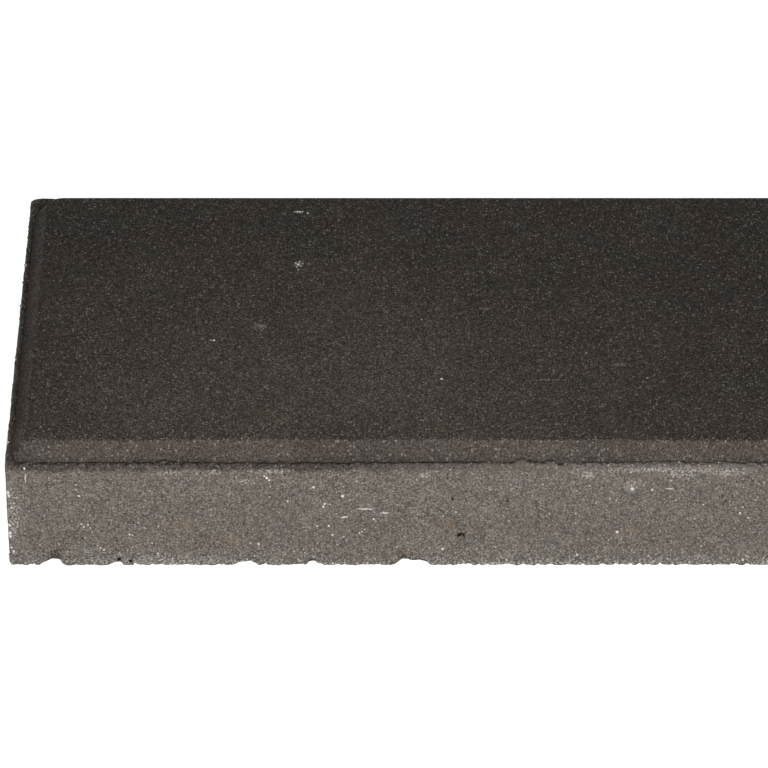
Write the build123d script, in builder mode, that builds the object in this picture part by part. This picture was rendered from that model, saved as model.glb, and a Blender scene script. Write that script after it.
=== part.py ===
from build123d import *
import math
import os

# A rectangular paving tile of dry-pressed concrete, in millimetres, one solid.
# The frame has +X along the length, +Y across the width and +Z up, with the
# origin in the middle of the underside that beds on the ground.

# Overall size of the tile as it leaves the mould
LENGTH = 300.0
WIDTH = 150.0
THICKNESS = 45.0

# Upright corners and the bottom arris, where the mould box meets its pallet
CORNER_RADIUS = 1.2
BED_CHAMFER = 0.8

# Lip of concrete squeezed up between the mould wall and the stamp
LIP_WIDTH = 1.4
LIP_HEIGHT = 0.5
LIP_ROUNDING = 0.25

# Bevel that the stamp presses round the wearing face
BEVEL_RUN = 5.0
BEVEL_DROP = 5.6
FACE_CORNER_RADIUS = 1.6
FACE_EDGE_RADIUS = 0.8

# Levels and the stamp's outline at the foot of the bevel
foot_level = THICKNESS - BEVEL_DROP
lip_level = foot_level + LIP_HEIGHT
stamp_length = LENGTH - 2 * LIP_WIDTH
stamp_width = WIDTH - 2 * LIP_WIDTH
stamp_corner_radius = FACE_CORNER_RADIUS + BEVEL_RUN
bevel_angle = math.degrees(math.atan2(BEVEL_RUN, BEVEL_DROP))

with BuildPart() as paving_tile:
    # Upright-sided body, as tall as the crest of the lip
    with BuildSketch() as mould_outline:
        RectangleRounded(LENGTH, WIDTH, CORNER_RADIUS)
    extrude(amount=lip_level)
    chamfer(paving_tile.faces().sort_by(Axis.Z)[0].edges(), BED_CHAMFER)

    # Bed that the stamp sinks inside the lip, with its rounded corners
    with BuildSketch(Plane.XY.offset(foot_level)) as stamp_outline:
        RectangleRounded(stamp_length, stamp_width, stamp_corner_radius)
    extrude(amount=LIP_HEIGHT, mode=Mode.SUBTRACT)

    # Crest of the lip, worn round on both sides
    lip_crest = paving_tile.faces().sort_by(Axis.Z)[-1]
    fillet(lip_crest.edges(), LIP_ROUNDING)

    # Raised panel, with one steady slope along the sides and round the corners
    with BuildSketch(Plane.XY.offset(foot_level)) as panel_foot:
        RectangleRounded(stamp_length, stamp_width, stamp_corner_radius)
    extrude(amount=BEVEL_DROP, taper=bevel_angle)

    # Soft edge between the wearing face and the bevel
    wearing_face = paving_tile.faces().sort_by(Axis.Z)[-1]
    fillet(wearing_face.edges(), FACE_EDGE_RADIUS)

paving_tile.part.label = "paving_tile"

os.makedirs("parts", exist_ok=True)
export_step(paving_tile.part, "parts/paving_tile.step")
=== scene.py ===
import math

import bpy
import numpy as np
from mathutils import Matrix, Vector
from mathutils.geometry import delaunay_2d_cdt


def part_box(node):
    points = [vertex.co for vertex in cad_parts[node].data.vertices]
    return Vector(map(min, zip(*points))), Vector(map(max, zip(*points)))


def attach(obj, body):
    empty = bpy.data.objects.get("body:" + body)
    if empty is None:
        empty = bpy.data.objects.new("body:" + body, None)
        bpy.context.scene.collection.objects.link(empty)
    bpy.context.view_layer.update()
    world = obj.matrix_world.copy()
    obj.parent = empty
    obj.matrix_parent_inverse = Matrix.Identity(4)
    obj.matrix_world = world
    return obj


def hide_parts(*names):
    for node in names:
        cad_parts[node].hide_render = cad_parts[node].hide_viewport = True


# A dry-pressed concrete paving tile: a dense charcoal wearing face with a pressed bevel,
# a thin ragged lip left by the mould, and paler sandy sides with a crumbled bottom arris.
# Lengths are in metres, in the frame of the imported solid; MM turns millimetres into them.

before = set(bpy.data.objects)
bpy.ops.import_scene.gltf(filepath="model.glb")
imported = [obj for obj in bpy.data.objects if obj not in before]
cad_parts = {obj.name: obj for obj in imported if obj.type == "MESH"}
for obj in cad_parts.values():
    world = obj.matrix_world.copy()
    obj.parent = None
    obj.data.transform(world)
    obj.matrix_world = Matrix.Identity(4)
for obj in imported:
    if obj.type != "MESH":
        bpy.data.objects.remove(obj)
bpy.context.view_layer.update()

MM = 0.001
TILE = "paving_tile"
CONCRETE = "pressed_concrete"

# Overall size, read from the solid
tile_low, tile_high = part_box(TILE)
LENGTH = tile_high[0] - tile_low[0]
WIDTH = tile_high[1] - tile_low[1]
THICKNESS = tile_high[2] - tile_low[2]

# Section of the pressed edge, as in the solid
CORNER_RADIUS = 1.2 * MM
LIP_WIDTH = 1.4 * MM
LIP_HEIGHT = 0.5 * MM
BEVEL_RUN = 5.0 * MM
BEVEL_DROP = 5.6 * MM
FOOT_LEVEL = THICKNESS - BEVEL_DROP
LIP_LEVEL = FOOT_LEVEL + LIP_HEIGHT
# Corner radii of the bevel's foot and of the face, from the front right corner anticlockwise.
# The two right ones are the solid's. The stamp left the back left one blunter and the front left
# one sharper.
PRESSED_CORNERS = (
    (6.6 * MM, 1.6 * MM),
    (6.6 * MM, 1.6 * MM),
    (10.5 * MM, 5.0 * MM),
    (4.6 * MM, 1.2 * MM),
)
# In the same order: which way each corner lies, and the angle at which its arc begins
CORNER_WAYS = ((1, -1, -90), (1, 1, 0), (-1, 1, 90), (-1, -1, 180))
# The lip is worn round towards the mould wall and sharp towards the bevel: share of its width,
# and how far below its crest in millimetres
LIP_CREST = (
    (0.04, 0.66),
    (0.14, 0.36),
    (0.32, 0.12),
    (0.54, 0.0),
    (0.76, 0.02),
    (0.92, 0.14),
    (1.0, 0.34),
)

# How finely the mesh follows the tile
COLUMN_STEP = 0.6 * MM
ARC_STEPS = 12
SIDE_STEP = 2.2 * MM
FACE_GRID = 2.4 * MM
BED_GRID = 5.0 * MM

# Marks of this one tile, in millimetres. The front side is measured along the front and up.
# Chips out of the front bottom arris: place, half width and rise
ARRIS_NOTCHES = (
    (-136.4, 4.2, 3.2),
    (-116.0, 2.4, 0.7),
    (-74.0, 3.4, 1.4),
    (-53.6, 2.2, 1.4),
    (-24.4, 2.8, 2.8),
    (-20.0, 4.5, 2.0),
)

# Burrs that stand up on the lip: x, y, half width and rise
LIP_BURRS = (
    (14.2, -75.0, 3.4, 1.3),
    (22.5, -75.0, 2.0, 0.6),
    (-102.0, -75.0, 2.6, 0.5),
    (-149.5, 74.5, 8.0, 0.8),
)
# Stretches of the groove that are filled: x, y, half width and how full
GROOVE_FILLS = (
    (-95.0, -75.0, 60.0, 0.35),
    (-103.5, -75.0, 3.2, 1.0),
    (4.0, -75.0, 5.4, 1.0),
    (30.0, -75.0, 5.0, 0.7),
    (62.0, -75.0, 48.0, 1.0),
    (-149.0, -72.0, 16.0, 0.7),
)

# Blowholes in the front side, each painted dark inside as shade: place, height, radius and depth
BLOWHOLES = (
    (-6.4, 11.9, 1.6, 2.4),
    (-5.5, 11.1, 0.7, 0.5),
    (-9.2, 26.4, 0.6, 0.7),
    (8.1, 25.4, 0.7, 0.6),
    (-115.2, 1.6, 0.9, 1.4),
    (-111.4, 1.5, 0.8, 1.0),
    # Not a blowhole: a shallow dent above the chip at -136.4, painted dark as the shadow under its
    # overhang
    (-135.1, 3.4, 1.3, 0.4),
)

# Lime grains on the front side (place, height, radius) and on the wearing face (x, y, radius)
FRONT_LIME_GRAINS = (
    (-149.4, 28.8, 0.7),
    (-149.1, 27.6, 0.6),
    (-148.4, 23.0, 0.5),
    (-149.4, 16.0, 0.6),
    (-149.4, 12.9, 0.8),
    (-149.3, 11.5, 0.6),
    (-149.1, 7.0, 0.5),
    (-148.5, 5.6, 0.5),
    (-143.8, 38.4, 0.5),
    (-127.0, 27.6, 0.5),
    (-126.6, 16.4, 0.3),
    (-125.8, 15.4, 0.4),
    (-124.5, 16.2, 0.4),
    (-123.8, 14.9, 0.3),
    (-121.8, 7.9, 0.3),
    (-120.9, 7.0, 0.3),
    (-119.8, 6.2, 0.4),
    (-111.5, 12.3, 0.4),
    (-110.6, 12.0, 0.3),
    (-104.4, 8.8, 0.3),
    (-102.7, 4.7, 0.4),
    (-70.6, 8.6, 0.5),
    (-67.7, 34.7, 0.6),
    (-68.5, 35.4, 0.4),
    (-67.0, 33.8, 0.4),
    (-61.2, 25.6, 0.4),
    (-53.0, 31.1, 0.6),
    (-49.5, 24.5, 0.5),
    (-50.0, 23.4, 0.5),
    (-45.9, 20.6, 0.3),
    (-48.3, 15.8, 0.5),
    (-47.1, 12.2, 0.5),
    (-43.9, 27.6, 0.7),
    (-44.1, 19.1, 0.4),
    (-43.4, 19.3, 0.5),
    (-42.7, 19.4, 0.4),
    (-38.6, 13.0, 0.4),
    (-37.8, 13.6, 0.4),
    (-37.0, 14.3, 0.3),
    (-34.1, 18.5, 0.5),
    (-12.2, 6.6, 0.6),
    (30.6, 4.2, 0.5),
    (43.1, 13.4, 0.7),
    (47.4, 30.4, 0.7),
    (53.7, 30.0, 0.5),
    (81.7, 20.9, 0.5),
    (83.4, 2.2, 0.6),
)
FACE_LIME_GRAINS = (
    (-85.7, -14.6, 0.6),
    (-86.8, -14.4, 0.4),
    (-59.0, 28.8, 0.7),
    (-58.2, 27.9, 0.4),
    (-59.9, 29.6, 0.5),
    (-58.6, 30.4, 0.4),
    (-59.6, 27.4, 0.4),
    (-57.6, 29.4, 0.35),
    (-59.2, 25.8, 0.35),
    (-60.6, 60.0, 0.4),
    (-59.8, 60.2, 0.5),
    (-59.0, 60.0, 0.6),
    (-58.1, 60.1, 0.5),
    (-56.3, 59.1, 0.5),
    (-18.6, -2.9, 0.4),
    (34.3, -21.5, 0.4),
    (-12.4, -35.9, 0.6),
    (53.3, -35.4, 0.4),
    (-37.7, 68.4, 0.4),
    (26.1, 68.4, 0.4),
    (86.4, 68.4, 0.4),
)
# Lime chips on the left lip: y and radius
LEFT_LIME_GRAINS = (
    (36.0, 0.8),
    (12.0, 0.4),
    (-18.0, 0.4),
    (-63.0, 0.7),
)

# Dashes of lime on the front side: middle, height, half length and half height
LIME_DASHES = (
    (-37.0, 22.5, 3.6, 0.45),
    (-30.8, 20.9, 1.8, 0.40),
    (59.2, 30.4, 1.6, 0.40),
    (-143.6, 34.6, 0.32, 2.2),
)
# Faint rust stains and lime blooms on the front side: middle, height, half length and half height
RUST_STAINS = (
    (-93.9, 16.2, 3.6, 3.2),
    (-79.1, 10.2, 4.0, 3.0),
    (-10.1, 17.0, 2.6, 2.2),
    (48.4, 14.2, 3.0, 2.4),
)
LIME_BLOOMS = (
    (58.0, 37.8, 38.0, 1.6),
    (78.0, 37.1, 10.0, 2.6),
    (62.0, 36.3, 9.0, 3.2),
    (47.4, 31.6, 3.6, 3.4),
    (33.5, 35.9, 5.0, 2.6),
    (-18.0, 35.6, 3.0, 2.0),
    (-66.0, 37.4, 11.0, 1.4),
    (-74.0, 33.2, 5.0, 1.5),
    (-84.0, 37.0, 3.4, 1.8),
    (-98.5, 36.7, 6.0, 1.6),
    (-148.0, 20.0, 3.5, 19.0),
    (-100.0, 1.5, 46.0, 3.0),
    (20.0, 0.8, 70.0, 1.6),
    (110.0, 1.0, 60.0, 2.2),
)
# Scuffs on the wearing face: middle x, middle y, half length and half width
FACE_SCUFFS = (
    (-59.0, 28.8, 2.2, 2.6),
    (-59.2, 59.9, 1.9, 1.2),
    (-71.0, -7.0, 3.4, 2.6),
    (2.0, 3.3, 2.6, 0.8),
    (20.9, -36.5, 8.8, 0.55),
    (19.7, -25.4, 1.2, 1.2),
    (45.0, -28.0, 5.0, 1.0),
)
# A painted pool of light on the wearing face, brightest round its middle towards the front, as the
# front light falls; given as the scuffs are
FACE_PAINTED_LIGHT = (
    (-46.0, -48.0, 165.0, 132.0),
)
# How much of the stamped mix is smeared down over the lip, at places along the front
FRONT_SMEAR = (
    (-150.0, 0.9),
    (-60.0, 1.0),
    (-15.0, 0.55),
    (30.0, 0.15),
)
# How limy the lip's grains are, at places along the front
FRONT_LIP_LIME = (
    (15.0, 0.0),
    (40.0, 0.8),
    (120.0, 1.0),
    (140.0, 0.3),
)

# Colours of the concrete and of what lies in and on it, as linear red, green, blue and 1
SANDY_WARM = (0.1355, 0.1180, 0.0995, 1)
SANDY_COOL = (0.1335, 0.1190, 0.1020, 1)
DENSE_WARM = (0.0860, 0.0710, 0.0600, 1)
DENSE_COOL = (0.0825, 0.0708, 0.0628, 1)
PALE_SAND = (0.41, 0.385, 0.345, 1)
WHITE_SAND = (0.60, 0.57, 0.52, 1)
PORE_DARK = (0.030, 0.026, 0.022, 1)
RUST = (0.24, 0.165, 0.095, 1)
LIME = (0.52, 0.50, 0.46, 1)
# The dark of the painted shade in the groove, at the bevel's foot, in crack lines and in blowholes
PAINTED_SHADE_DARK = (0.015, 0.011, 0.009, 1)
GRAIN_STONE = (0.035, 0.031, 0.027, 1)
GRAIN_QUARTZ = (0.175, 0.155, 0.130, 1)
GRAIN_LIME = (0.62, 0.60, 0.56, 1)

# Light and camera. Each soft lamp has a name, a place, what it points at, a width, a height and
# its watts.
LAMPS = (
    ("front_soft_box", (-0.03, -0.40, 0.15), (-0.03, -0.06, 0.03), 0.7, 0.16, 1.68),
    ("back_soft_box", (0.0, 1.0, 0.075), (0.0, 0.075, 0.02), 1.2, 0.12, 4.8),
    ("right_soft_box", (1.0, 0.0, 0.075), (0.15, 0.0, 0.02), 1.0, 0.12, 4.0),
    ("left_soft_box", (-1.0, 0.0, 0.06), (-0.15, 0.0, 0.02), 1.0, 0.10, 0.9),
)
SKY_LIGHT = 0.20
FLOOR_REACH = 6.0
FLOOR_GAP = 0.05 * MM
FLOOR_GLOW = 0.86
CAMERA_PLACE = (-30.8 * MM, -1369.8 * MM, 1001.5 * MM)
CAMERA_TILT = 35.7
CAMERA_LENS = 240.8


class Wiring:
    """Adds nodes to one tree and joins them, so that a recipe reads in order."""

    def __init__(self, tree):
        self.tree = tree

    def add(self, kind, **settings):
        node = self.tree.nodes.new(kind)
        for name, value in settings.items():
            setattr(node, name, value)
        return node

    def feed(self, socket, value):
        if isinstance(value, bpy.types.NodeSocket):
            self.tree.links.new(value, socket)
        elif value is not None:
            socket.default_value = value

    def fill(self, node, **values):
        """Feeds a node's shown inputs by their labels and gives back its first shown output."""
        for name, value in values.items():
            label = name.replace("_", " ").title()
            self.feed(next(s for s in node.inputs if s.enabled and s.name == label), value)
        return next(s for s in node.outputs if s.enabled)

    def math(self, operation, first, second=None, third=None):
        node = self.add("ShaderNodeMath", operation=operation)
        for socket, value in zip(node.inputs, (first, second, third)):
            self.feed(socket, value)
        return node.outputs[0]

    def vector(self, operation, first, second=None, scale=None):
        node = self.add("ShaderNodeVectorMath", operation=operation)
        self.feed(node.inputs[0], first)
        self.feed(node.inputs[1], second)
        if scale is not None:
            self.feed(node.inputs["Scale"], scale)
        return node.outputs[0]

    def span(self, vector):
        """The length of a vector."""
        node = self.add("ShaderNodeVectorMath", operation="LENGTH")
        self.feed(node.inputs[0], vector)
        return node.outputs["Value"]

    def per_metre(self, size):
        if isinstance(size, bpy.types.NodeSocket):
            return self.math("DIVIDE", 1.0, size)
        return 1.0 / size

    def elsewhere(self, place, seed):
        """The same place in another part of the pattern, for each seed."""
        return self.vector("ADD", place, self.vector("SCALE", (0.051, 0.037, 0.063), scale=seed))

    def noise(self, place, size, detail=2.0, seed=0.0):
        node = self.add("ShaderNodeTexNoise")
        self.feed(node.inputs["Vector"], self.elsewhere(place, seed))
        self.feed(node.inputs["Scale"], self.per_metre(size))
        self.feed(node.inputs["Detail"], detail)
        return node.outputs[0]

    def shaken(self, place, size, reach, detail=2.0):
        """The place pushed about at random, so that a round mark gets a ragged rim."""
        shake = self.add("ShaderNodeTexNoise")
        self.feed(shake.inputs["Vector"], place)
        self.feed(shake.inputs["Scale"], 1 / size)
        self.feed(shake.inputs["Detail"], detail)
        push = self.vector("SUBTRACT", shake.outputs["Color"], (0.5, 0.5, 0.5))
        return self.vector("ADD", place, self.vector("SCALE", push, scale=reach))

    def cells(self, place, size, seed=0.0):
        """Distance to the nearest of scattered cell middles, and three random numbers for each cell."""
        node = self.add("ShaderNodeTexVoronoi")
        self.feed(node.inputs["Vector"], self.elsewhere(place, seed))
        self.feed(node.inputs["Scale"], self.per_metre(size))
        split = self.add("ShaderNodeSeparateColor")
        self.feed(split.inputs[0], node.outputs["Color"])
        return node.outputs["Distance"], split.outputs

    def ramp(self, value, low, high, bottom=0.0, top=1.0):
        node = self.add("ShaderNodeMapRange", interpolation_type="SMOOTHSTEP")
        return self.fill(node, value=value, from_min=low, from_max=high, to_min=bottom, to_max=top)

    def centred(self, value):
        return self.math("SUBTRACT", value, 0.5)

    def blend(self, factor, first, second):
        node = self.add("ShaderNodeMix", data_type="RGBA")
        return self.fill(node, factor=factor, a=first, b=second)

    def between(self, factor, first, second):
        node = self.add("ShaderNodeMix", data_type="FLOAT")
        return self.fill(node, factor=factor, a=first, b=second)

    def group(self, tree, **values):
        kind = "ShaderNodeGroup" if tree.bl_idname == "ShaderNodeTree" else "GeometryNodeGroup"
        node = self.add(kind, node_tree=tree)
        self.fill(node, **values)
        return node.outputs


def new_group(name, kind, inputs, outputs):
    """An empty node group with named sockets, given as (name, type, default) and (name, type)."""
    tree = bpy.data.node_groups.new(name, kind)
    for label, socket_type, default in inputs:
        socket = tree.interface.new_socket(label, in_out="INPUT", socket_type=socket_type)
        if default is not None:
            socket.default_value = default
    for label, socket_type in outputs:
        tree.interface.new_socket(label, in_out="OUTPUT", socket_type=socket_type)
    wiring = Wiring(tree)
    return tree, wiring, wiring.add("NodeGroupInput").outputs, wiring.add("NodeGroupOutput").inputs


# The swept body of the tile


def outline(inset, radii):
    """Points round the tile at an inset from the mould wall, anticlockwise from the front right."""
    long_steps = round(LENGTH / COLUMN_STEP)
    short_steps = round(WIDTH / COLUMN_STEP)
    arcs = []
    for (way_x, way_y, first), radius in zip(CORNER_WAYS, radii):
        angles = np.radians(np.linspace(first, first + 90, ARC_STEPS + 1))
        middle = np.array((way_x * (LENGTH / 2 - inset - radius), way_y * (WIDTH / 2 - inset - radius)))
        arcs.append(middle + radius * np.column_stack((np.cos(angles), np.sin(angles))))
    points = []
    for index, steps in enumerate((short_steps, long_steps, short_steps, long_steps)):
        start, goal = arcs[index][-1], arcs[(index + 1) % 4][0]
        fractions = np.arange(1, steps) / steps
        points.append(arcs[index])
        points.append(start + (goal - start) * fractions[:, None])
    return np.vstack(points)


def stations():
    """Section of the tile from its bed to its wearing face: inset, height and the corner radii."""

    def stamped_radii(press, rise=0.0):
        """Radii on the way from the mould wall to the bevel's foot, and from there up to the face."""
        radii = []
        for foot, face in PRESSED_CORNERS:
            radii.append(CORNER_RADIUS + (foot - CORNER_RADIUS) * press + (face - foot) * rise)
        return radii

    section = []
    for inset in (8.0, 5.5, 3.8, 2.4, 1.3):
        section.append((inset * MM, 0.0, [0.6 * MM] * 4))
    for inset, height in ((0.45, 0.0), (0.12, 0.22)):
        section.append((inset * MM, height * MM, [CORNER_RADIUS - inset * MM] * 4))
    near_lip = LIP_LEVEL - 3.2 * MM
    low = list(np.arange(0.7 * MM, 5.6 * MM, 0.7 * MM))
    middle = list(np.linspace(5.6 * MM, near_lip, round((near_lip - 5.6 * MM) / SIDE_STEP)))
    high = list(np.linspace(near_lip, LIP_LEVEL - 1.1 * MM, 4))[1:]
    for height in low + middle + high:
        section.append((0.0, height, stamped_radii(0.0)))

    for share, sink in LIP_CREST:
        section.append((LIP_WIDTH * share, LIP_LEVEL - sink * MM, stamped_radii(share)))
    for share in (0.0, 0.05, 0.12, 0.22, 0.36, 0.5, 0.64, 0.78, 0.88, 0.95):
        inset = LIP_WIDTH + BEVEL_RUN * share
        section.append((inset, FOOT_LEVEL + BEVEL_DROP * share, stamped_radii(1.0, share)))
    face_inset = LIP_WIDTH + BEVEL_RUN
    for past, sink in ((0.0, 0.10), (0.25, 0.02), (0.8, 0.0), (1.8, 0.0), (3.4, 0.0)):
        section.append((face_inset + past * MM, THICKNESS - sink * MM, stamped_radii(1.0, 1.0)))
    return section


def inner_grid(ring, step, margin):
    """Staggered points inside a ring, kept a margin away from it."""
    low, high = ring.min(axis=0) + margin, ring.max(axis=0) - margin
    rows = round((high[1] - low[1]) / step)
    columns = round((high[0] - low[0]) / step)
    points = []
    for row in range(rows + 1):
        shift = 0.5 * (row % 2)
        for column in range(columns + 1 - row % 2):
            x = low[0] + (high[0] - low[0]) * (column + shift) / columns
            points.append((x, low[1] + (high[1] - low[1]) * row / rows))
    return np.array(points)


def capped(ring, step):
    """Fills a ring with triangles: the points of a grid, and faces that count the ring first."""
    inside = inner_grid(ring, step, 0.7 * step)
    count = len(ring)
    edges = [(i, (i + 1) % count) for i in range(count)]
    points = [Vector(p) for p in np.vstack((ring, inside))]
    _, _, faces, _, _, _ = delaunay_2d_cdt(points, edges, [], 1, 1e-9)
    return inside, faces


def bell(distance, half_width):
    """A smooth bump, 1 at no distance and 0 past the half width."""
    share = np.clip(np.abs(distance) / half_width, 0, 1)
    return (1 - share * share) ** 2


def store(mesh, **zones):
    """Keeps one number or one vector for each point of a mesh."""
    for name, values in zones.items():
        if values.ndim == 1:
            layer = mesh.attributes.new(name, "FLOAT", "POINT")
            layer.data.foreach_set("value", values.astype(np.float32))
        else:
            layer = mesh.attributes.new(name, "FLOAT_VECTOR", "POINT")
            layer.data.foreach_set("vector", values.astype(np.float32).ravel())


def tile_mesh():
    """The whole closed body, with what the weathering needs to know stored on its points."""
    section = stations()
    rings = [outline(inset, radii) for inset, _, radii in section]
    count = len(rings[0])
    swept = len(section) * count
    bed_grid, bed_faces = capped(rings[0], BED_GRID)
    face_grid, face_faces = capped(rings[-1], FACE_GRID)

    levels = [np.full(count, height) for _, height, _ in section]
    points = [np.column_stack((ring, level)) for ring, level in zip(rings, levels)]
    points.append(np.column_stack((bed_grid, np.zeros(len(bed_grid)))))
    points.append(np.column_stack((face_grid, np.full(len(face_grid), THICKNESS))))
    places = np.vstack(points)

    faces = []
    for level in range(len(section) - 1):
        here, above = level * count, (level + 1) * count
        for i in range(count):
            following = (i + 1) % count
            faces.append((here + i, here + following, above + following, above + i))

    def renumbered(face, ring_start, grid_start):
        return [ring_start + i if i < count else grid_start + i - count for i in face]

    faces += [renumbered(face, 0, swept)[::-1] for face in bed_faces]
    faces += [renumbered(face, swept - count, swept + len(bed_grid)) for face in face_faces]
    mesh = bpy.data.meshes.new("tile_blank")
    mesh.from_pydata(places.tolist(), [], faces)
    mesh.polygons.foreach_set("use_smooth", np.ones(len(faces), dtype=bool))

    # Where each column meets the mould wall, and which way is out
    wall = outline(0.0, [CORNER_RADIUS] * 4)
    along = np.roll(wall, -1, axis=0) - np.roll(wall, 1, axis=0)
    out = np.column_stack((along[:, 1], -along[:, 0])) / np.linalg.norm(along, axis=1)[:, None]
    rest = len(places) - swept
    edge_place = np.vstack((np.tile(wall, (len(section), 1)), places[swept:, :2]))
    outward = np.vstack((np.tile(out, (len(section), 1)), np.zeros((rest, 2))))
    inset = np.concatenate((np.repeat([s[0] for s in section], count), np.full(rest, 50 * MM)))
    height = places[:, 2]
    flat = np.zeros((len(places), 1))

    front = (edge_place[:, 1] < -WIDTH / 2 + 0.1 * MM) & (np.abs(edge_place[:, 0]) < LENGTH / 2)
    end = np.abs(outward[:, 0]) > 0.8
    x, y = edge_place.T / MM
    notch = sum(rise * bell(x - place, half) for place, half, rise in ARRIS_NOTCHES) * front * MM

    def bumps(rows):
        return sum(top * bell(np.hypot(x - at_x, y - at_y), half) for at_x, at_y, half, top in rows)

    burr = bumps(LIP_BURRS) * MM
    filled = np.clip(bumps(GROOVE_FILLS), 0, 1)
    front_smear = np.interp(x, *zip(*FRONT_SMEAR))
    smear = np.where(front, front_smear, np.where(end, 0.25, 0.65))

    past_lip = inset - LIP_WIDTH
    raised = height > FOOT_LEVEL - 0.1 * MM
    inside = raised & (past_lip > -0.001 * MM)
    # Painted shade at the bevel's foot: darkest at the groove and fading up the bevel, wider and
    # stronger on the ends
    fade = np.maximum(past_lip, 0) / np.where(end, 3.6 * MM, 1.0 * MM)
    foot_shade = np.where(end, 2.3 * np.exp(-(fade**2)), np.exp(-fade))
    groove_half = np.where(end, 0.50 * MM, 0.36 * MM)
    limed = np.interp(x, *zip(*FRONT_LIP_LIME)) * front
    near_crest = np.clip(1 - (LIP_LEVEL - height) / (1.9 * MM), 0, 1)
    store(
        mesh,
        edge_place=np.hstack((edge_place, flat)),
        outward=np.hstack((outward, flat)),
        lip=np.where(past_lip < 0.001 * MM, near_crest, 0.0),
        groove=np.where(raised, bell(past_lip, groove_half), 0.0),
        foot=np.where(inside, foot_shade, 0.0),
        stamped=np.where(inside, 1.0, 0.0),
        arris=np.where(height < THICKNESS / 2, np.exp(-np.hypot(inset, height) / (4.0 * MM)), 0.0),
        toe=np.where(height < THICKNESS / 2, np.exp(-np.hypot(inset, height) / (1.1 * MM)), 0.0),
        wide_lip=np.where(end, 1.0, 0.0),
        side=np.where(inset < 0.01 * MM, 1.0, 0.0),
        bed=np.where((height < 0.01 * MM) & (inset > 1.0 * MM), 1.0, 0.0),
        notch=notch,
        burr=burr,
        filled=filled,
        smear=smear,
        limed=limed * near_crest,
    )
    return mesh


def sink_blowholes(mesh):
    """Draws the front side's points together round each blowhole and pushes its middle in."""
    places = np.empty(len(mesh.vertices) * 3, dtype=np.float32)
    mesh.vertices.foreach_get("co", places)
    places = places.reshape(-1, 3).astype(float)
    front = places[:, 1] < -WIDTH / 2 + 0.01 * MM
    pit = np.zeros(len(places))
    for x, z, radius, depth in np.array(BLOWHOLES) * MM:
        reach = 5.5 * radius
        away_x, away_z = places[:, 0] - x, places[:, 2] - z
        distance = np.hypot(away_x, away_z)
        near = front & (distance < reach) & (places[:, 2] > 0.6 * MM)
        pull = 0.34 + 0.66 * (distance / reach) ** 1.5
        places[near, 0] = x + away_x[near] * pull[near]
        places[near, 2] = np.maximum(z + away_z[near] * pull[near], 0.4 * MM)
        sunk = bell(distance * pull, radius * 1.2) * near
        places[:, 1] += depth * sunk
        pit = np.maximum(pit, sunk)
    mesh.vertices.foreach_set("co", places.astype(np.float32).ravel())
    # Where the side is sunk is kept, to paint shade inside the blowholes
    store(mesh, pit=pit)


# Weathering: the relief that pressing, stripping and handling leave


def named(w, name, data_type="FLOAT"):
    """What a mesh stores under a name, inside a geometry tree."""
    return w.fill(w.add("GeometryNodeInputNamedAttribute", data_type=data_type), name=name)


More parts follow.
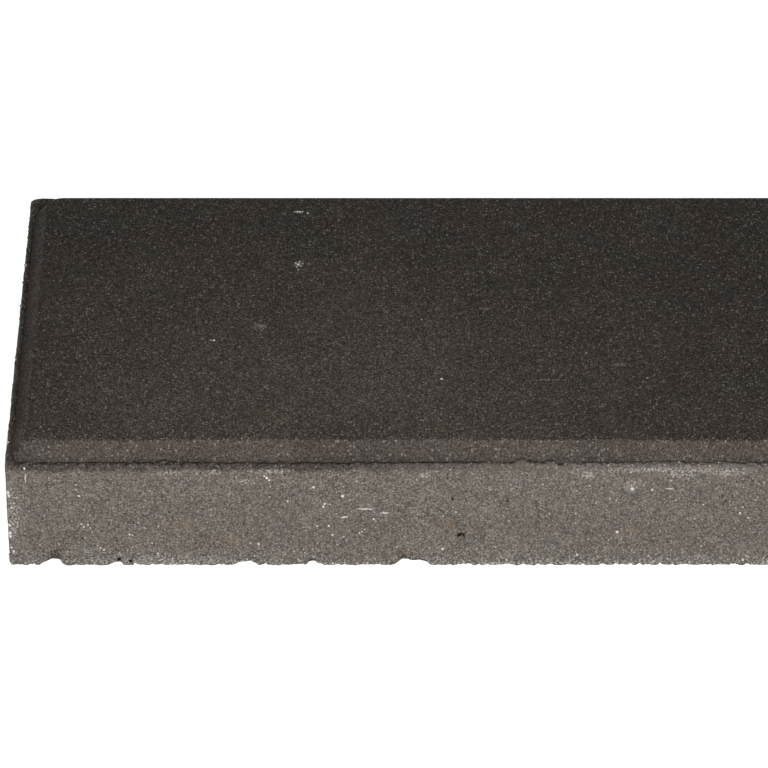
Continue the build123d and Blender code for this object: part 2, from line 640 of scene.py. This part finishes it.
def weathering_tree():
    """Moves the body's points: uneven sides, ragged lip, open groove and crumbled arris."""
    tree, w, given, result = new_group(
        "pressed_concrete_weathering",
        "GeometryNodeTree",
        (
            ("Geometry", "NodeSocketGeometry", None),
            ("Unevenness", "NodeSocketFloat", 0.08 * MM),
            ("Grain Relief", "NodeSocketFloat", 0.11 * MM),
            ("Grain Size", "NodeSocketFloat", 1.3 * MM),
            ("Lip Wander", "NodeSocketFloat", 0.75 * MM),
            ("Lip Wander Size", "NodeSocketFloat", 1.9 * MM),
            ("Groove Depth", "NodeSocketFloat", 0.8 * MM),
            ("Arris Crumble", "NodeSocketFloat", 0.8 * MM),
            ("Arris Crumble Size", "NodeSocketFloat", 1.6 * MM),
            ("Fin Reach", "NodeSocketFloat", 0.75 * MM),
            ("Seed", "NodeSocketFloat", 4.0),
            ("Finish", "NodeSocketMaterial", None),
        ),
        (("Geometry", "NodeSocketGeometry"),),
    )
    place = w.add("GeometryNodeInputPosition").outputs[0]
    normal = w.add("GeometryNodeInputNormal").outputs[0]
    edge_place = named(w, "edge_place", "FLOAT_VECTOR")
    outward = named(w, "outward", "FLOAT_VECTOR")
    lip, groove, arris = (named(w, name) for name in ("lip", "groove", "arris"))
    side, bed, filled = (named(w, name) for name in ("side", "bed", "filled"))

    def wave(at, size, detail, shift):
        return w.noise(at, size, detail, w.math("ADD", given["Seed"], shift))

    # Broad unevenness and grain, stronger on the sides than on the stamped face
    rough = w.math("MULTIPLY_ADD", w.math("MAXIMUM", side, w.math("MAXIMUM", lip, bed)), 0.75, 0.25)
    broad = w.centred(wave(place, 22 * MM, 1.0, 0.0))
    grain = w.centred(wave(place, given["Grain Size"], 3.0, 3.0))
    push = w.math("MULTIPLY", broad, w.math("MULTIPLY", given["Unevenness"], 4.0))
    push = w.math("MULTIPLY_ADD", grain, w.math("MULTIPLY", given["Grain Relief"], 4.0), push)
    push = w.math("MULTIPLY", push, rough)
    push = w.math("MULTIPLY", push, w.math("SUBTRACT", 1.0, w.math("MULTIPLY", bed, 0.5)))
    push = w.math("SUBTRACT", push, w.math("MULTIPLY", w.math("MAXIMUM", push, 0.0), bed))

    # The lip's crest rises, falls and breaks off, and its line wanders in and out
    crest = w.centred(wave(edge_place, given["Lip Wander Size"], 4.0, 7.0))
    broken = w.ramp(wave(edge_place, 6.0 * MM, 1.0, 9.0), 0.56, 0.72)
    lift = w.math("MULTIPLY_ADD", crest, 2.2, w.math("MULTIPLY", broken, -0.7))
    lift = w.math("MULTIPLY_ADD", lift, given["Lip Wander"], named(w, "burr"))
    lift = w.math("MULTIPLY", lift, lip)
    line = w.centred(wave(edge_place, 2.6 * MM, 4.0, 11.0))
    sway = w.math("MULTIPLY", line, w.math("MULTIPLY", w.math("MAXIMUM", lip, groove), 1.3 * MM))

    # The groove at the bevel's foot stays open except where it is filled
    shut = w.ramp(wave(edge_place, 4.5 * MM, 2.0, 15.0), 0.50, 0.66)
    crumbs = w.ramp(wave(edge_place, 1.6 * MM, 2.0, 27.0), 0.50, 0.62)
    shut = w.math("MAXIMUM", w.math("MULTIPLY", shut, 0.8), w.math("MULTIPLY", crumbs, 0.7))
    shut = w.math("MAXIMUM", filled, shut)
    opened = w.math("MULTIPLY", given["Groove Depth"], w.math("SUBTRACT", 1.0, shut))
    lift = w.math("SUBTRACT", lift, w.math("MULTIPLY", groove, opened))
    lift = w.math("MULTIPLY_ADD", w.math("MULTIPLY", groove, filled), 0.45 * MM, lift)

    # The bottom arris has crumbled away upwards and inwards
    small = w.ramp(wave(edge_place, given["Arris Crumble Size"], 4.0, 13.0), 0.42, 0.85)
    large = w.ramp(wave(edge_place, 9.0 * MM, 2.0, 17.0), 0.58, 0.80)
    lost = w.math("MULTIPLY", w.math("ADD", large, small), given["Arris Crumble"])
    jagged = w.math("ADD", wave(place, 1.5 * MM, 3.0, 25.0), 0.5)
    lost = w.math("MULTIPLY", w.math("MULTIPLY_ADD", named(w, "notch"), jagged, lost), arris)
    pitted = w.math("MULTIPLY", w.centred(wave(place, 0.9 * MM, 2.0, 19.0)), arris)
    lost = w.math("MAXIMUM", w.math("MULTIPLY_ADD", pitted, 1.1 * MM, lost), 0.0)
    lift = w.math("MULTIPLY_ADD", lost, w.math("SUBTRACT", 1.0, bed), lift)
    fins = w.ramp(wave(edge_place, 1.7 * MM, 4.0, 21.0), 0.30, 0.68)
    fins = w.math("MULTIPLY", fins, w.math("MULTIPLY", named(w, "toe"), given["Fin Reach"]))
    fins = w.math("MULTIPLY", fins, w.ramp(named(w, "notch"), 0.0, 0.5 * MM, 1.0, 0.0))
    sway = w.math("ADD", w.math("SUBTRACT", sway, lost), fins)
    sway = w.math("MULTIPLY_ADD", w.math("MULTIPLY", groove, named(w, "wide_lip")), -0.75 * MM, sway)

    upward = w.add("ShaderNodeCombineXYZ")
    w.feed(upward.inputs["Z"], lift)
    sideways = w.vector("SCALE", outward, scale=sway)
    offset = w.vector("ADD", w.vector("SCALE", normal, scale=push), sideways)
    offset = w.vector("ADD", offset, upward.outputs[0])
    moved = w.fill(w.add("GeometryNodeSetPosition"), geometry=given["Geometry"], offset=offset)
    whole = w.fill(w.add("GeometryNodeRealizeInstances"), geometry=moved)
    finished = w.fill(w.add("GeometryNodeSetMaterial"), geometry=whole, material=given["Finish"])
    w.feed(result["Geometry"], finished)
    return tree


def placed_grains():
    """Loose points for the lime grains that sit at known places, with their size and way out."""
    front_y = -WIDTH / 2 / MM - 0.05
    lip_x = -LENGTH / 2 / MM + 0.4
    rows = [(x, front_y, z, radius, 0, -1, 0) for x, z, radius in FRONT_LIME_GRAINS]
    rows += [(x, y, THICKNESS / MM, radius, 0, 0, 1) for x, y, radius in FACE_LIME_GRAINS]
    rows += [(lip_x, y, LIP_LEVEL / MM, radius, 0, 0, 1) for y, radius in LEFT_LIME_GRAINS]
    rows = np.array(rows)
    mesh = bpy.data.meshes.new("placed_grains")
    mesh.from_pydata((rows[:, :3] * MM).tolist(), [], [])
    store(mesh, grain_size=rows[:, 3] * MM, facing=rows[:, 4:], tint=np.full(len(rows), 1.0))
    return mesh


def bare_grains_tree():
    """Scatters bare sand grains over the tile, adds the placed ones and half sinks them all."""
    tree, w, given, result = new_group(
        "bare_grains",
        "GeometryNodeTree",
        (
            ("Geometry", "NodeSocketGeometry", None),
            ("Tile", "NodeSocketObject", None),
            ("Side Density", "NodeSocketFloat", 75000.0),
            ("Lip Density", "NodeSocketFloat", 420000.0),
            ("Groove Density", "NodeSocketFloat", 900000.0),
            ("Arris Density", "NodeSocketFloat", 240000.0),
            ("Face Density", "NodeSocketFloat", 22000.0),
            ("Smallest", "NodeSocketFloat", 0.13 * MM),
            ("Largest", "NodeSocketFloat", 0.46 * MM),
            ("Seed", "NodeSocketInt", 5),
            ("Finish", "NodeSocketMaterial", None),
        ),
        (("Geometry", "NodeSocketGeometry"),),
    )

    def chance(data_type, low, high, shift):
        node = w.add("FunctionNodeRandomValue", data_type=data_type)
        seed = w.math("ADD", given["Seed"], shift)
        return w.fill(node, min=low, max=high, seed=seed)

    def keep(geometry, name, value, data_type="FLOAT"):
        node = w.add("GeometryNodeStoreNamedAttribute", data_type=data_type, domain="POINT")
        return w.fill(node, geometry=geometry, name=name, value=value)

    # Scattered grains: most on the sides, crowded along the arris and the lip
    body = w.add("GeometryNodeObjectInfo")
    w.feed(body.inputs["Object"], given["Tile"])
    stamped, arris, lip = (named(w, name) for name in ("stamped", "arris", "lip"))
    above_bed = w.math("SUBTRACT", 1.0, named(w, "bed"))
    density = w.math("MULTIPLY", named(w, "side"), given["Side Density"])
    for zone, label in (
        (lip, "Lip Density"),
        (named(w, "groove"), "Groove Density"),
        (w.math("MULTIPLY", arris, above_bed), "Arris Density"),
        (stamped, "Face Density"),
    ):
        density = w.math("MULTIPLY_ADD", zone, given[label], density)
    scatter = w.add("GeometryNodeDistributePointsOnFaces")
    w.fill(scatter, mesh=body.outputs["Geometry"], density=density, seed=given["Seed"])
    share = w.math("POWER", chance("FLOAT", 0.0, 1.0, 1), 2.5)
    spread = w.math("SUBTRACT", given["Largest"], given["Smallest"])
    size = w.math("MULTIPLY_ADD", share, spread, given["Smallest"])
    size = w.math("MULTIPLY", size, w.math("SUBTRACT", 1.0, w.math("MULTIPLY", stamped, 0.35)))
    tint = w.math("MULTIPLY_ADD", arris, 0.5, chance("FLOAT", 0.0, 0.66, 2))
    tint = w.math("MULTIPLY_ADD", named(w, "limed"), 0.4, tint)
    darker = w.math("MAXIMUM", stamped, w.math("MULTIPLY", lip, named(w, "smear")))
    tint = w.math("MULTIPLY", tint, w.between(darker, 1.0, 0.7))
    points = keep(scatter.outputs["Points"], "grain_size", size)
    points = keep(points, "facing", scatter.outputs["Normal"], "FLOAT_VECTOR")
    points = keep(points, "tint", tint)

    # Placed grains join them, and every grain sinks partly into the concrete
    loose = w.fill(w.add("GeometryNodeMeshToPoints"), mesh=given["Geometry"])
    every = w.add("GeometryNodeJoinGeometry")
    for geometry in (points, loose):
        w.feed(every.inputs[0], geometry)
    size = named(w, "grain_size")
    squash = chance("FLOAT_VECTOR", (0.7, 0.7, 0.7), (1.3, 1.3, 1.3), 4)
    sunk = w.vector("SCALE", named(w, "facing", "FLOAT_VECTOR"), scale=w.math("MULTIPLY", size, -0.35))
    rooted = w.fill(w.add("GeometryNodeSetPosition"), geometry=every.outputs[0], offset=sunk)
    lump = w.fill(w.add("GeometryNodeMeshIcoSphere"), radius=1.0, subdivisions=1)
    instances = w.fill(
        w.add("GeometryNodeInstanceOnPoints"),
        points=rooted,
        instance=lump,
        rotation=chance("FLOAT_VECTOR", (0, 0, 0), (6.28, 6.28, 6.28), 3),
        scale=w.vector("SCALE", squash, scale=size),
    )
    whole = w.fill(w.add("GeometryNodeRealizeInstances"), geometry=instances)
    finished = w.fill(w.add("GeometryNodeSetMaterial"), geometry=whole, material=given["Finish"])
    w.feed(result["Geometry"], finished)
    return tree


def settled(mesh, name, tree, **values):
    """The plain mesh that a geometry tree makes of a mesh, as a new object."""
    carrier = bpy.data.objects.new(name + "_blank", mesh)
    bpy.context.scene.collection.objects.link(carrier)
    modifier = carrier.modifiers.new("shape", "NODES")
    modifier.node_group = tree
    inputs = {s.name: s.identifier for s in tree.interface.items_tree if s.in_out == "INPUT"}
    for label, value in values.items():
        modifier[inputs[label.replace("_", " ").title()]] = value
    graph = bpy.context.evaluated_depsgraph_get()
    made = bpy.data.meshes.new_from_object(carrier.evaluated_get(graph), depsgraph=graph)
    carrier.modifiers.remove(modifier)
    bpy.data.objects.remove(carrier)
    made.name = name
    piece = bpy.data.objects.new(name, made)
    bpy.context.scene.collection.objects.link(piece)
    return piece


# Finishes


def fine_grain_group():
    """Salt and pepper of fine aggregate: a value about 1 to multiply a colour by, and its relief."""
    tree, w, given, result = new_group(
        "fine_grain",
        "ShaderNodeTree",
        (
            ("Grain Size", "NodeSocketFloat", 0.4 * MM),
            ("Contrast", "NodeSocketFloat", 1.0),
            ("Clumping", "NodeSocketFloat", 0.3),
            ("Seed", "NodeSocketFloat", 0.0),
        ),
        (("Shade", "NodeSocketFloat"), ("Relief", "NodeSocketFloat")),
    )
    place = w.add("ShaderNodeTexCoord").outputs["Object"]
    size, seed = given["Grain Size"], given["Seed"]
    _, chances = w.cells(place, size, seed)
    tone = w.centred(chances[0])
    fine = w.centred(w.noise(place, w.math("MULTIPLY", size, 1.6), 3.0, seed))
    clump = w.centred(w.noise(place, w.math("MULTIPLY", size, 7.0), 2.0, seed))
    power = w.math("MULTIPLY", w.math("MULTIPLY_ADD", fine, 1.6, tone), given["Contrast"])
    power = w.math("MULTIPLY_ADD", clump, given["Clumping"], power)
    w.feed(result["Shade"], w.math("EXPONENT", power))
    w.feed(result["Relief"], w.math("MULTIPLY_ADD", fine, 1.4, tone))
    return tree


def speck_group():
    """Scattered irregular specks, such as bare grains, lime or pores: a mask of their spots."""
    tree, w, given, result = new_group(
        "scattered_specks",
        "ShaderNodeTree",
        (
            ("Spacing", "NodeSocketFloat", 1.0 * MM),
            ("Share", "NodeSocketFloat", 0.3),
            ("Speck Size", "NodeSocketFloat", 0.3 * MM),
            ("Seed", "NodeSocketFloat", 0.0),
        ),
        (("Mask", "NodeSocketFloat"),),
    )
    place = w.shaken(w.add("ShaderNodeTexCoord").outputs["Object"], 0.5 * MM, 0.35 * MM, 1.0)
    distance, chances = w.cells(place, given["Spacing"], given["Seed"])
    present = w.math("LESS_THAN", chances[0], given["Share"])
    radius = w.math("MULTIPLY", given["Speck Size"], w.math("MULTIPLY_ADD", chances[1], 1.2, 0.4))
    away = w.math("MULTIPLY", distance, given["Spacing"])
    spot = w.ramp(away, w.math("MULTIPLY", radius, 1.2), w.math("MULTIPLY", radius, 0.7))
    w.feed(result["Mask"], w.math("MULTIPLY", spot, present))
    return tree


def cloud_group():
    """Slow changes of tone and warmth, as damp and dense patches leave."""
    tree, w, given, result = new_group(
        "cloudy_tone",
        "ShaderNodeTree",
        (
            ("Patch Size", "NodeSocketFloat", 30 * MM),
            ("Strength", "NodeSocketFloat", 0.2),
            ("Seed", "NodeSocketFloat", 0.0),
        ),
        (("Shade", "NodeSocketFloat"), ("Warmth", "NodeSocketFloat")),
    )
    place = w.add("ShaderNodeTexCoord").outputs["Object"]
    size, seed = given["Patch Size"], given["Seed"]
    slow = w.centred(w.noise(place, size, 3.0, seed))
    swing = w.math("MULTIPLY", given["Strength"], 2.0)
    w.feed(result["Shade"], w.math("MULTIPLY_ADD", slow, swing, 1.0))
    other = w.noise(place, w.math("MULTIPLY", size, 0.6), 1.0, w.math("ADD", seed, 1.0))
    w.feed(result["Warmth"], w.ramp(other, 0.35, 0.65))
    return tree


def mark_group():
    """One soft mark at a known place: a mask that is 1 in its middle and 0 past its reach."""
    tree, w, given, result = new_group(
        "placed_mark",
        "ShaderNodeTree",
        (
            ("Place", "NodeSocketVector", None),
            ("Middle", "NodeSocketVector", None),
            ("Reach", "NodeSocketVector", None),
            ("Softness", "NodeSocketFloat", 0.5),
        ),
        (("Mask", "NodeSocketFloat"),),
    )
    away = w.vector("DIVIDE", w.vector("SUBTRACT", given["Place"], given["Middle"]), given["Reach"])
    core = w.math("SUBTRACT", 1.0, given["Softness"])
    w.feed(result["Mask"], w.ramp(w.span(away), 1.0, core))
    return tree


def marks(w, tree, place, middles, softness):
    """All the marks of one kind together, from (middle, reach) pairs."""
    mask = 0.0
    for middle, reach in middles:
        spot = w.group(tree, place=place, middle=middle, reach=reach, softness=softness)["Mask"]
        mask = w.math("MAXIMUM", mask, spot)
    return mask


def on_front(rows, depth=3 * MM):
    """Front-side marks as (middle, reach) in the tile's frame."""
    return [((x * MM, -WIDTH / 2, z * MM), (a * MM, depth, b * MM)) for x, z, a, b in rows]


def on_face(rows):
    """Wearing-face marks as (middle, reach) in the tile's frame."""
    return [((x * MM, y * MM, THICKNESS), (a * MM, b * MM, 2 * MM)) for x, y, a, b in rows]


def opaque_material(name):
    """A material with a matt shader, its wiring and the shader's inputs."""
    material = bpy.data.materials.new(name)
    material.use_nodes = True
    material.node_tree.nodes.clear()
    w = Wiring(material.node_tree)
    shader = w.add("ShaderNodeBsdfPrincipled")
    output = w.add("ShaderNodeOutputMaterial")
    w.feed(output.inputs["Surface"], shader.outputs[0])
    return material, w, shader.inputs


def concrete_finish(groups):
    """One concrete, dense and dark where it was stamped and sandy where the mould slid off."""
    material, w, shader = opaque_material(CONCRETE)
    place = w.add("ShaderNodeTexCoord").outputs["Object"]
    split = w.add("ShaderNodeSeparateXYZ")
    w.feed(split.inputs[0], place)
    level = split.outputs["Z"]

    def stored(name):
        return w.add("ShaderNodeAttribute", attribute_name=name).outputs["Fac"]

    def cloudy(warm, cool, patch_size, strength, seed):
        cloud = w.group(groups["cloud"], patch_size=patch_size, strength=strength, seed=seed)
        return w.vector("SCALE", w.blend(cloud["Warmth"], cool, warm), scale=cloud["Shade"])

    def specks(spacing, share, speck_size, seed):
        node = w.group(groups["speck"], spacing=spacing, share=share, speck_size=speck_size, seed=seed)
        return node["Mask"]

    def marked(at, middles, softness):
        return marks(w, groups["mark"], at, middles, softness)

    # The dense stamped mix, smeared down over the lip in flakes, against the sandy sides
    ragged = w.math("MULTIPLY_ADD", w.centred(w.noise(place, 1.3 * MM, 3.0, 2.0)), 2.6 * MM, level)
    ragged = w.math("MULTIPLY_ADD", w.centred(w.noise(place, 6.0 * MM, 1.0, 4.0)), 3.6 * MM, ragged)
    smeared = w.ramp(ragged, LIP_LEVEL - 3.4 * MM, LIP_LEVEL - 1.6 * MM)
    smeared = w.math("MULTIPLY", smeared, stored("smear"))
    flaked = w.math("MULTIPLY", smeared, w.math("SUBTRACT", 1.0, stored("stamped")))
    dense = w.math("MAXIMUM", stored("stamped"), smeared)
    on_side = w.math("SUBTRACT", 1.0, dense)
    side_colour = cloudy(SANDY_WARM, SANDY_COOL, 14 * MM, 0.13, 3.0)
    dense_colour = cloudy(DENSE_WARM, DENSE_COOL, 26 * MM, 0.28, 7.0)
    # Painted light: the wearing face is painted brighter round this middle and darker towards the back,
    # as the front light falls
    painted_face_light = marked(place, on_face(FACE_PAINTED_LIGHT), 1.0)
    topmost = w.ramp(level, THICKNESS - 0.6 * MM, THICKNESS - 0.1 * MM)
    at_end = stored("wide_lip")
    # Painted shade and light: the ends' bevels are painted darker, as less light falls on them, and the
    # wearing face is painted darker than the front bevel, which the front light falls on
    end_painted_shade = w.between(at_end, 1.0, 0.82)
    tone = w.between(topmost, end_painted_shade, w.between(painted_face_light, 0.68, 1.07))
    tone = w.math("MULTIPLY", tone, w.between(flaked, 1.0, 0.78))
    dense_colour = w.vector("SCALE", dense_colour, scale=tone)
    colour = w.blend(dense, side_colour, dense_colour)

    coarse = w.group(groups["grain"], grain_size=0.40 * MM, contrast=1.0, clumping=0.45, seed=1.0)
    contrast = w.between(topmost, w.between(at_end, 1.15, 2.2), 1.85)
    fine = w.group(groups["grain"], grain_size=0.34 * MM, contrast=contrast, clumping=0.35, seed=2.0)
    colour = w.vector("SCALE", colour, scale=w.between(dense, coarse["Shade"], fine["Shade"]))

    # Bare pale grains and dark pores
    pale = specks(0.95 * MM, 0.30, 0.27 * MM, 11.0)
    white = specks(2.1 * MM, 0.20, 0.30 * MM, 31.0)
    pores = specks(1.0 * MM, 0.26, 0.27 * MM, 23.0)
    pale_share = w.between(dense, 0.55, w.between(topmost, 0.40, 0.60))
    white_share = w.between(dense, 0.75, 0.12)
    colour = w.blend(w.math("MULTIPLY", pale, pale_share), colour, PALE_SAND)
    colour = w.blend(w.math("MULTIPLY", white, white_share), colour, WHITE_SAND)
    colour = w.blend(w.math("MULTIPLY", pores, 0.55), colour, PORE_DARK)

    # Lime and rust on the front, and scuffs on the wearing face, each broken up by the grain
    loose_place = w.shaken(place, 1.1 * MM, 0.9 * MM)
    grit = w.noise(place, 0.7 * MM, 3.0, 5.0)
    broken = w.ramp(grit, 0.47, 0.60)
    dashes = marked(loose_place, on_front(LIME_DASHES), 0.5)
    dashes = w.math("MULTIPLY", dashes, w.ramp(grit, 0.30, 0.50))
    blooms = w.math("MULTIPLY", marked(loose_place, on_front(LIME_BLOOMS), 0.9), broken)
    stains = marked(loose_place, on_front(RUST_STAINS), 0.9)
    scuffs = marked(loose_place, on_face(FACE_SCUFFS), 0.8)
    scuffs = w.math("MULTIPLY", scuffs, w.ramp(grit, 0.38, 0.58))
    patchy = w.ramp(w.noise(place, 9.0 * MM, 2.0, 29.0), 0.55, 0.75)
    elsewhere = w.math("MULTIPLY", w.math("MULTIPLY", patchy, on_side), w.math("MULTIPLY", broken, 0.5))
    arris_lime = w.math("MULTIPLY", stored("arris"), w.ramp(grit, 0.55, 0.62))
    lime = dashes
    for layer, strength in ((blooms, 0.62), (elsewhere, 0.35), (arris_lime, 0.85), (scuffs, 0.5)):
        lime = w.math("MAXIMUM", lime, w.math("MULTIPLY", layer, strength))
    colour = w.blend(w.math("MULTIPLY", stains, 0.35), colour, RUST)
    colour = w.blend(lime, colour, LIME)

    # Painted shade: the groove and the bevel's foot are darkened where shade falls, unevenly on the
    # front and back and less where the groove is filled;
    # the smeared flakes get dark crack lines of painted shade, and the blowholes and the overhang above
    # the deepest arris chip get painted shadow
    foot_shade = w.math("MULTIPLY", stored("foot"), w.math("SUBTRACT", 1.0, stored("filled")))
    uneven = w.ramp(w.noise(place, 2.0 * MM, 3.0, 37.0), 0.35, 0.60, 0.65, 1.4)
    foot_shade = w.math("MULTIPLY", foot_shade, w.between(at_end, uneven, 1.0))
    # Painted shade: dark crack lines in the smeared flakes, with no relief under them
    crack_shade = w.math("MULTIPLY", flaked, w.ramp(w.noise(place, 0.9 * MM, 2.0, 41.0), 0.54, 0.66))
    # Painted shadow over the mouth of each blowhole
    hole_shadows = [(x, z, radius, 0.65 * radius) for x, z, radius, _ in BLOWHOLES]
    shade = marked(loose_place, on_front(hole_shadows, 4 * MM), 0.35)
    for layer, strength in ((foot_shade, 0.34), (stored("pit"), 0.35), (crack_shade, 0.75)):
        shade = w.math("MAXIMUM", shade, w.math("MULTIPLY", layer, strength))
    colour = w.blend(shade, colour, PAINTED_SHADE_DARK)

    relief = w.between(dense, coarse["Relief"], w.math("MULTIPLY", fine["Relief"], 0.75))
    relief = w.math("MULTIPLY_ADD", pale, 0.8, relief)
    relief = w.math("MULTIPLY_ADD", pores, -1.6, relief)
    bump = w.add("ShaderNodeBump")
    bump.inputs["Strength"].default_value = 0.6
    bump.inputs["Distance"].default_value = 0.09 * MM
    w.feed(bump.inputs["Height"], relief)
    shader["Specular IOR Level"].default_value = 0.06
    w.feed(shader["Base Color"], colour)
    w.feed(shader["Roughness"], w.between(dense, 0.95, 0.85))
    w.feed(shader["Normal"], bump.outputs[0])
    return material


def bare_grain_finish(groups):
    """Sand and lime grains, each of one tint from dark stone through quartz to lime."""
    material, w, shader = opaque_material("bare_grains")
    tint = w.add("ShaderNodeAttribute", attribute_name="tint").outputs["Fac"]
    stone = w.blend(w.ramp(tint, 0.10, 0.45), GRAIN_STONE, GRAIN_QUARTZ)
    colour = w.blend(w.ramp(tint, 0.50, 1.0), stone, GRAIN_LIME)
    grain = w.group(groups["grain"], grain_size=0.22 * MM, contrast=0.5, clumping=0.2, seed=6.0)
    colour = w.vector("SCALE", colour, scale=grain["Shade"])
    shader["Specular IOR Level"].default_value = 0.1
    shader["Roughness"].default_value = 0.85
    w.feed(shader["Base Color"], colour)
    return material


# Stage, light and camera


def plainly_seen(w):
    """1 where the camera looks, also by way of a mirror or glass, and 0 for all other light."""
    rays = w.add("ShaderNodeLightPath").outputs
    seen = w.math("MAXIMUM", rays["Is Camera Ray"], rays["Is Glossy Ray"])
    return w.math("MAXIMUM", seen, rays["Is Transmission Ray"])


def pale_stage():
    """A plain pale floor that shows white but keeps the tile's soft shadow."""
    mesh = bpy.data.meshes.new("studio_floor")
    corners = [(x * FLOOR_REACH, y * FLOOR_REACH, -FLOOR_GAP) for x, y, _ in CORNER_WAYS]
    mesh.from_pydata(corners, [], [(0, 1, 2, 3)])
    floor = bpy.data.objects.new("studio_floor", mesh)
    bpy.context.scene.collection.objects.link(floor)
    material, w, shader = opaque_material("pale_floor")
    shader["Base Color"].default_value = (0.80, 0.80, 0.80, 1)
    shader["Roughness"].default_value = 1.0
    shader["Specular IOR Level"].default_value = 0.0
    shader["Emission Color"].default_value = (1, 1, 1, 1)
    w.feed(shader["Emission Strength"], w.math("MULTIPLY", plainly_seen(w), FLOOR_GLOW))
    mesh.materials.append(material)


def white_world():
    """An even grey sky for light, and plain white where the camera sees it."""
    world = bpy.data.worlds.new("studio_sky")
    bpy.context.scene.world = world
    world.use_nodes = True
    world.node_tree.nodes.clear()
    w = Wiring(world.node_tree)
    sky = w.add("ShaderNodeBackground")
    sky.inputs["Color"].default_value = (1, 1, 1, 1)
    w.feed(sky.inputs["Strength"], w.between(plainly_seen(w), SKY_LIGHT, 1.0))
    output = w.add("ShaderNodeOutputWorld")
    w.feed(output.inputs["Surface"], sky.outputs[0])


def soft_box(name, place, aim, width, height, power):
    """A soft lamp that the camera doesn't see."""
    data = bpy.data.lights.new(name, "AREA")
    data.shape = "RECTANGLE"
    data.size = width
    data.size_y = height
    data.energy = power
    lamp = bpy.data.objects.new(name, data)
    lamp.location = place
    lamp.rotation_euler = (Vector(aim) - Vector(place)).to_track_quat("-Z", "Y").to_euler()
    lamp.visible_camera = False
    bpy.context.scene.collection.objects.link(lamp)


def photo_camera():
    """The camera of the photograph: square on to the front, looking down with a long lens."""
    data = bpy.data.cameras.new("photo_camera")
    data.sensor_width = 36.0
    data.lens = CAMERA_LENS
    data.clip_start = 0.05
    data.clip_end = 50.0
    camera = bpy.data.objects.new("photo_camera", data)
    camera.location = CAMERA_PLACE
    camera.rotation_euler = (math.radians(90) - math.radians(CAMERA_TILT), 0.0, 0.0)
    bpy.context.scene.collection.objects.link(camera)
    bpy.context.scene.camera = camera


def main():
    photo_camera()
    pale_stage()
    white_world()
    for lamp in LAMPS:
        soft_box(*lamp)
    bpy.context.scene.view_settings.view_transform = "Standard"

    groups = {
        "grain": fine_grain_group(),
        "speck": speck_group(),
        "cloud": cloud_group(),
        "mark": mark_group(),
    }
    blank = tile_mesh()
    sink_blowholes(blank)
    tile = settled(blank, "pressed_tile", weathering_tree(), finish=concrete_finish(groups))
    grain_tree, grain_finish = bare_grains_tree(), bare_grain_finish(groups)
    grains = settled(placed_grains(), "bare_grains", grain_tree, tile=tile, finish=grain_finish)
    for piece in (tile, grains):
        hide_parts(TILE)
        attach(piece, "root")
        print(piece.name, "triangles", sum(len(p.vertices) - 2 for p in piece.data.polygons))


main()
